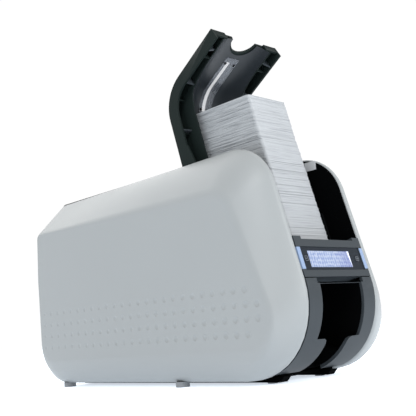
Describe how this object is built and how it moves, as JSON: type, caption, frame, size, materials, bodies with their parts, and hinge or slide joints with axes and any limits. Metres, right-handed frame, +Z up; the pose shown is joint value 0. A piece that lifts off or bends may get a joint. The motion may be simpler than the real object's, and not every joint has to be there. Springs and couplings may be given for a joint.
{
  "type": "id card printer",
  "caption": "Desktop card printer with two rounded side shells, a tall hinged card hopper, a display above an output bin, and a rear cover with ribbon and head.",
  "frame": {"origin": "on the table under the middle of the casing", "axes": "X across, Y from the front to the back, Z up"},
  "size_m": [0.1724, 0.36, 0.3347],
  "materials": {
    "shell_grey": "satin, fine moulded texture",
    "dark_trim": "satin",
    "lid_charcoal": "fine matt",
    "black_plastic": "matt",
    "rubber_grey": "matt",
    "window_tint": "clear, tinted",
    "window_clear": "clear",
    "lcd": "lit panel",
    "key_blue": "translucent, lit",
    "board_green": "solder resist",
    "card_white": "white PVC",
    "steel": "turned",
    "zinc": "plated sheet",
    "bronze": "sintered",
    "gear_white": "acetal",
    "roller_rubber": "ground rubber on a steel shaft",
    "clean_rubber": "tacky rubber",
    "belt_rubber": "moulded",
    "cassette_white": "natural",
    "ribbon": "thin dyed film",
    "motor_dark": "black",
    "head_dark": "anodised, ceramic edge"
  },
  "bodies": {
    "chassis": {"left_shell": "shell_grey", "right_shell": "shell_grey", "left_side_frame": "black_plastic", "right_side_frame": "black_plastic", "base_tray": "black_plastic", "rubber_feet": "rubber_grey", "front_bezel": "dark_trim", "output_tray": "black_plastic", "display_panel": "dark_trim", "display_window": "window_tint", "lcd_module": "lcd", "display_board": "board_green", "hopper_cradle": "black_plastic", "card_stack": "card_white", "hinge_bridge": "black_plastic", "lid_hinge_pins": "steel", "rear_panel": "black_plastic", "cover_hinge_pins": "steel", "dc_jack": "black_plastic", "data_ports": "zinc", "main_board": "board_green", "fan_housing": "black_plastic", "feed_motor": "motor_dark", "transport_guide": "black_plastic", "shaft_bushes": "bronze", "tie_rods": "steel", "shell_screws": "steel", "drive_belt": "belt_rubber", "pick_belt": "belt_rubber", "eject_belt": "belt_rubber"},
    "hopper_lid": {"hopper_lid": "lid_charcoal", "lid_window": "window_clear"},
    "surplus_cards": {"card_stack_upper": "card_white"},
    "rear_cover": {"top_cover": "shell_grey", "ribbon_cassette": "cassette_white", "ribbon_film": "ribbon", "ribbon_motor": "steel", "head_pivot_rod": "steel", "head_springs": "steel"},
    "head_arm": {"head_bracket": "zinc", "print_head": "head_dark"},
    "takeup_spool": {"takeup_spool": "cassette_white"},
    "supply_spool": {"supply_spool": "ribbon"},
    "ribbon_pinion": {"ribbon_pinion": "gear_white"},
    "left_key": {"left_key": "key_blue"},
    "right_key": {"right_key": "key_blue"},
    "power_switch": {"power_switch": "black_plastic"},
    "fan_rotor": {"fan_rotor": "black_plastic"},
    "platen": {"platen_roller": "roller_rubber", "platen_gear": "gear_white"},
    "motor_pinion": {"motor_pinion": "bronze"},
    "front_feed": {"front_feed_roller": "roller_rubber"},
    "rear_feed": {"rear_feed_roller": "roller_rubber"},
    "pick": {"pick_roller": "roller_rubber"},
    "eject": {"eject_roller": "roller_rubber"},
    "front_pinch": {"front_pinch_roller": "steel"},
    "cleaning": {"cleaning_roller": "clean_rubber"},
    "eject_pinch": {"eject_pinch_roller": "steel"},
    "card_gate": {"card_gate": "black_plastic"}
  },
  "joints": [
    {"name": "lid_hinge", "type": "hinge", "parent": "chassis", "child": "hopper_lid", "pos_m": [0, -0.04774, 0.1999], "axis": [1, 0, 0], "range_deg": [0, 104.4], "deforming": ["card_stack_upper"]},
    {"name": "surplus_cards_out", "type": "slide", "parent": "chassis", "child": "surplus_cards", "axis": [0, -1, 0], "range_m": [0, 0.15]},
    {"name": "cover_hinge", "type": "hinge", "parent": "chassis", "child": "rear_cover", "pos_m": [0, 0.163, 0.1999], "axis": [-1, 0, 0], "range_deg": [0, 70]},
    {"name": "head_swing", "type": "hinge", "parent": "rear_cover", "child": "head_arm", "pos_m": [0, 0.083, 0.118], "axis": [-1, 0, 0], "range_deg": [0, 10], "stiffness_Nm_per_rad": 0.6, "springref_deg": -17.19, "deforming": ["head_springs"]},
    {"name": "takeup_spin", "type": "hinge", "parent": "rear_cover", "child": "takeup_spool", "pos_m": [0, 0.027, 0.165], "axis": [1, 0, 0], "continuous": true},
    {"name": "ribbon_pinion_spin", "type": "hinge", "parent": "rear_cover", "child": "ribbon_pinion", "pos_m": [0, 0.06148, 0.17233], "axis": [1, 0, 0], "continuous": true},
    {"name": "supply_spin", "type": "hinge", "parent": "rear_cover", "child": "supply_spool", "pos_m": [0, 0.097, 0.165], "axis": [1, 0, 0], "continuous": true},
    {"name": "left_key_press", "type": "slide", "parent": "chassis", "child": "left_key", "axis": [0, 0.969, -0.247], "range_m": [0, 0.001], "stiffness_N_per_m": 500, "springref_m": -0.0005},
    {"name": "right_key_press", "type": "slide", "parent": "chassis", "child": "right_key", "axis": [0, 0.969, -0.247], "range_m": [0, 0.001], "stiffness_N_per_m": 500, "springref_m": -0.0005},
    {"name": "switch_rock", "type": "hinge", "parent": "chassis", "child": "power_switch", "pos_m": [-0.031, 0.1725, 0.11], "axis": [1, 0, 0], "range_deg": [0, 12]},
    {"name": "fan_spin", "type": "hinge", "parent": "chassis", "child": "fan_rotor", "pos_m": [0, 0.1695, 0.08], "axis": [0, 1, 0], "continuous": true},
    {"name": "platen_spin", "type": "hinge", "parent": "chassis", "child": "platen", "pos_m": [0, 0.06, 0.085], "axis": [1, 0, 0], "continuous": true},
    {"name": "pinion_spin", "type": "hinge", "parent": "chassis", "child": "motor_pinion", "pos_m": [0, 0.06, 0.0566], "axis": [1, 0, 0], "continuous": true},
    {"name": "front_feed_spin", "type": "hinge", "parent": "chassis", "child": "front_feed", "pos_m": [0, -0.028, 0.085], "axis": [1, 0, 0], "continuous": true},
    {"name": "rear_feed_spin", "type": "hinge", "parent": "chassis", "child": "rear_feed", "pos_m": [0, 0.11, 0.085], "axis": [1, 0, 0], "continuous": true},
    {"name": "pick_spin", "type": "hinge", "parent": "chassis", "child": "pick", "pos_m": [0, -0.095, 0.0915], "axis": [1, 0, 0], "continuous": true},
    {"name": "eject_spin", "type": "hinge", "parent": "chassis", "child": "eject", "pos_m": [0, -0.066, 0.078], "axis": [1, 0, 0], "continuous": true},
    {"name": "front_pinch_spin", "type": "hinge", "parent": "chassis", "child": "front_pinch", "pos_m": [0, -0.028, 0.0953], "axis": [1, 0, 0], "continuous": true},
    {"name": "cleaning_spin", "type": "hinge", "parent": "chassis", "child": "cleaning", "pos_m": [0, -0.006, 0.0963], "axis": [1, 0, 0], "continuous": true},
    {"name": "eject_pinch_spin", "type": "hinge", "parent": "chassis", "child": "eject_pinch", "pos_m": [0, -0.066, 0.0873], "axis": [1, 0, 0], "continuous": true},
    {"name": "gate_swing", "type": "hinge", "parent": "chassis", "child": "card_gate", "pos_m": [0, -0.04, 0.0945], "axis": [1, 0, 0], "range_deg": [0, 12], "stiffness_Nm_per_rad": 0.03, "springref_deg": -17.19}
  ],
  "couplings": [
    {"joint": "ribbon_pinion_spin", "follows": "takeup_spin", "ratio": -2.1429},
    {"joint": "pinion_spin", "follows": "platen_spin", "ratio": -2.5},
    {"joint": "front_feed_spin", "follows": "platen_spin", "ratio": 1},
    {"joint": "rear_feed_spin", "follows": "platen_spin", "ratio": 1},
    {"joint": "pick_spin", "follows": "platen_spin", "ratio": 1},
    {"joint": "eject_spin", "follows": "platen_spin", "ratio": 1},
    {"joint": "front_pinch_spin", "follows": "platen_spin", "ratio": -1.5},
    {"joint": "cleaning_spin", "follows": "platen_spin", "ratio": -1.2},
    {"joint": "eject_pinch_spin", "follows": "platen_spin", "ratio": -1.25}
  ]
}
